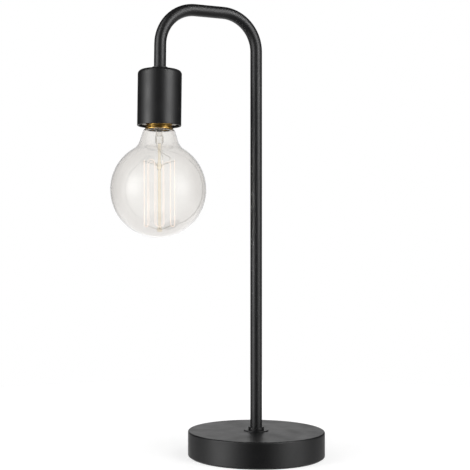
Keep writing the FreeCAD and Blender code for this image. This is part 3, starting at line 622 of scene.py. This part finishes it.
def rolledCover():  # the drawn cover, with its lower rim rounded as the press leaves it
    look = coverLook
    sheet = bmesh.new()
    sheet.from_mesh(nodes["base_cover"].data)
    bmesh.ops.remove_doubles(sheet, verts=sheet.verts, dist=weldGap)
    bmesh.ops.dissolve_limit(sheet, angle_limit=math.radians(look["flatWithin"]),
                             verts=sheet.verts, edges=sheet.edges)
    low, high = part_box("base_cover")
    level, reach = low[2] + look["rimDepth"], high[0] - look["rimWidth"]
    rim = [edge for edge in sheet.edges
           if all(point.co.z < level and point.co.xy.length > reach for point in edge.verts)]
    print("rim edges:", len(rim))
    bmesh.ops.bevel(sheet, geom=rim, offset=look["roundingMm"] * mm, segments=look["steps"],
                    profile=0.5, affect="EDGES", material=-1)
    piece = addPiece("rolledCover", sheet, ["base_cover"], finishes["black_coat"],
                     Matrix(), "stand")
    flat = piece.modifiers.new("flatFaces", "WEIGHTED_NORMAL")  # big faces look flat to the rim
    flat.keep_sharp = True
    return piece


for make in (rolledCap, blownGlobe, pressedStem, glassRod, coiledFilament, feedWires, upperHooks,
             lowerHooks, rolledCover):
    piece = make()
    print(piece.name, len(piece.data.polygons), "faces")


# Studio

studio = {"fill": 0.3, "floorSize": 1.3, "floorSides": 96, "floorColour": "a6a6a6",
          "glow": (0.72, 1.0), "glowReach": (0.12, 0.45),  # the floor is whiter away from the base
          "tableShine": 1.2, "tableHeights": (-0.05, -0.4)}  # gloss sees it from under the horizon
tentLook = {"front": (0.0, 0.03), "side": (0.5, 0.02), "behind": (0.95, 0.02),
            "backdrop": (0.985, 0.9)}
cameraSet = {"heading": 21.55, "spot": (-0.0707, -1.05, 0.2041), "lens": 78.38,
             "shift": (0.1016, 0.0472), "nearest": 0.01}
softboxes = [
    {"name": "leftSoftbox", "turn": -62, "rise": 0.5, "distance": 1.0, "size": (0.42, 1.5),
     "radiance": 3.0},
    {"name": "rightSoftbox", "turn": 58, "rise": 0.5, "distance": 1.0, "size": (0.46, 1.5),
     "radiance": 0.7},
    {"name": "topSoftbox", "turn": 47, "rise": 0.5, "distance": 0.8, "size": (0.5, 0.8),
     "radiance": 4.0},
]
glows = [  # round and with soft edges, for gloss alone
    {"turn": -62, "rise": 0.08, "power": 12, "glow": 4.1},
    {"turn": 58, "rise": 0.08, "power": 12, "glow": 2.9},
    {"turn": 184, "rise": 0.45, "power": 24, "glow": 0.25},  # the backdrop's bright upper part
]
heading = math.radians(cameraSet["heading"])
forward = Vector((math.sin(heading), math.cos(heading), 0))
sideways = Vector((math.cos(heading), -math.sin(heading), 0))
lampMiddle = (cadBox[0] + cadBox[1]) / 2


def turnedTowards(look):  # from the lamp to a light, on the level
    turn = math.radians(look["turn"])
    return sideways * math.sin(turn) - forward * math.cos(turn)


def toneRamp(tree, share, look):  # from the camera's side round to the backdrop
    ramp = addNode(tree, "ValToRGB", links={"Fac": share})
    stops = ramp.color_ramp.elements
    for number, (position, strength) in enumerate(look.values()):
        stop = stops[number] if number < len(stops) else stops.new(position)
        stop.position = position
        stop.color = (strength, strength, strength, 1)
    return ramp.outputs["Color"]


def towards(tree, direction, target):  # the cosine between each ray and the target
    dot = addNode(tree, "VectorMath", {"operation": "DOT_PRODUCT"}, {0: direction})
    dot.inputs[1].default_value = target
    return dot.outputs["Value"]


# white to the camera and through glass, and to gloss a dim tent with a few round glows
def buildWorld():
    world = bpy.data.worlds.new("paleStudio")
    bpy.context.scene.world = world
    world.use_nodes = True
    tree = world.node_tree
    tree.nodes.clear()
    rays, seen = directRays(tree)
    direction = addNode(tree, "TexCoord").outputs["Object"]
    share = addNode(tree, "MapRange", {"From Min": -1.0, "From Max": 1.0},
                    {"Value": towards(tree, direction, forward)}).outputs["Result"]
    mirrored = toneRamp(tree, share, tentLook)
    for look in glows:
        target = (turnedTowards(look) + Vector((0, 0, look["rise"]))).normalized()
        ahead = addNode(tree, "Math", {"operation": "MAXIMUM", 1: 0.0},
                        {0: towards(tree, direction, target)})
        roundGlow = addNode(tree, "Math", {"operation": "POWER", 1: look["power"]},
                            {0: ahead.outputs["Value"]})
        withGlow = addNode(tree, "Math", {"operation": "MULTIPLY_ADD", 1: look["glow"]},
                           {0: roundGlow.outputs["Value"], 2: mirrored})
        mirrored = withGlow.outputs["Value"]
    height = addNode(tree, "SeparateXYZ", links={"Vector": direction}).outputs["Z"]
    start, end = studio["tableHeights"]
    below = addNode(tree, "MapRange",
                    {"From Min": start, "From Max": end, "To Max": studio["tableShine"]},
                    {"Value": height})
    table = addNode(tree, "Math", {"operation": "MULTIPLY"}, {0: below.outputs["Result"], 1: share})
    both = addNode(tree, "Math", {"operation": "ADD"}, {0: mirrored, 1: table.outputs["Value"]})
    level = addNode(tree, "Mix", {"A": studio["fill"]},
                    {"Factor": rays.outputs["Is Glossy Ray"], "B": both.outputs["Value"]})
    level = addNode(tree, "Mix", {"B": 1.0}, {"Factor": seen, "A": level.outputs["Result"]})
    light = addNode(tree, "Background", links={"Strength": level.outputs["Result"]})
    light.inputs["Color"].default_value = hexColour("ffffff")
    addNode(tree, "OutputWorld", links={"Surface": light.outputs["Background"]})


def buildFloor():  # matt, with a white of its own for the eye that leaves the lamp's soft shadow
    mesh = bpy.data.meshes.new("studioFloor")
    sheet = bmesh.new()
    bmesh.ops.create_circle(sheet, cap_ends=True, segments=studio["floorSides"],
                            radius=studio["floorSize"] / 2)
    sheet.to_mesh(mesh)
    sheet.free()
    floor = newObject("studioFloor", mesh)
    floor.visible_glossy = False
    material, tree, place = startMaterial("paleStudioFloor")
    seen = directRays(tree)[1]
    away = addNode(tree, "VectorMath", {"operation": "LENGTH"}, {0: place})
    near, far = studio["glowReach"]
    weak, full = studio["glow"]
    glowing = addNode(tree, "MapRange",
                      {"From Min": near, "From Max": far, "To Min": weak, "To Max": full},
                      {"Value": away.outputs["Value"]})
    strength = addNode(tree, "Math", {"operation": "MULTIPLY"},
                       {0: seen, 1: glowing.outputs["Result"]})
    matt = addNode(tree, "BsdfDiffuse", {"Color": hexColour(studio["floorColour"])})
    glow = addNode(tree, "Emission", links={"Strength": strength.outputs["Value"]})
    both = addNode(tree, "AddShader", links={0: matt.outputs["BSDF"], 1: glow.outputs["Emission"]})
    addNode(tree, "OutputMaterial", links={"Surface": both.outputs["Shader"]})
    mesh.materials.append(material)


def buildSoftboxes():
    for look in softboxes:
        spot = lampMiddle + turnedTowards(look) * look["distance"] + Vector((0, 0, look["rise"]))
        light = bpy.data.lights.new(look["name"], "AREA")
        light.shape = "RECTANGLE"
        light.size, light.size_y = look["size"]
        light.energy = look["radiance"] * math.pi * light.size * light.size_y
        light.cycles.use_multiple_importance_sampling = False
        softbox = newObject(look["name"], light)
        softbox.location = spot
        softbox.rotation_euler = (spot - lampMiddle).to_track_quat("Z", "Y").to_euler()
        softbox.visible_camera = False
        softbox.visible_transmission = False


def buildCamera():
    across, along, height = cameraSet["spot"]
    lens = bpy.data.cameras.new("photoCamera")
    lens.lens = cameraSet["lens"]
    lens.shift_x, lens.shift_y = cameraSet["shift"]
    lens.clip_start = cameraSet["nearest"]
    camera = newObject("photoCamera", lens)
    camera.location = sideways * across + forward * along + Vector((0, 0, height))
    camera.rotation_euler = (math.pi / 2, 0, -heading)
    bpy.context.scene.camera = camera


buildWorld()
buildFloor()
buildSoftboxes()
buildCamera()
bpy.context.scene.view_settings.view_transform = "Standard"
print("studio built")
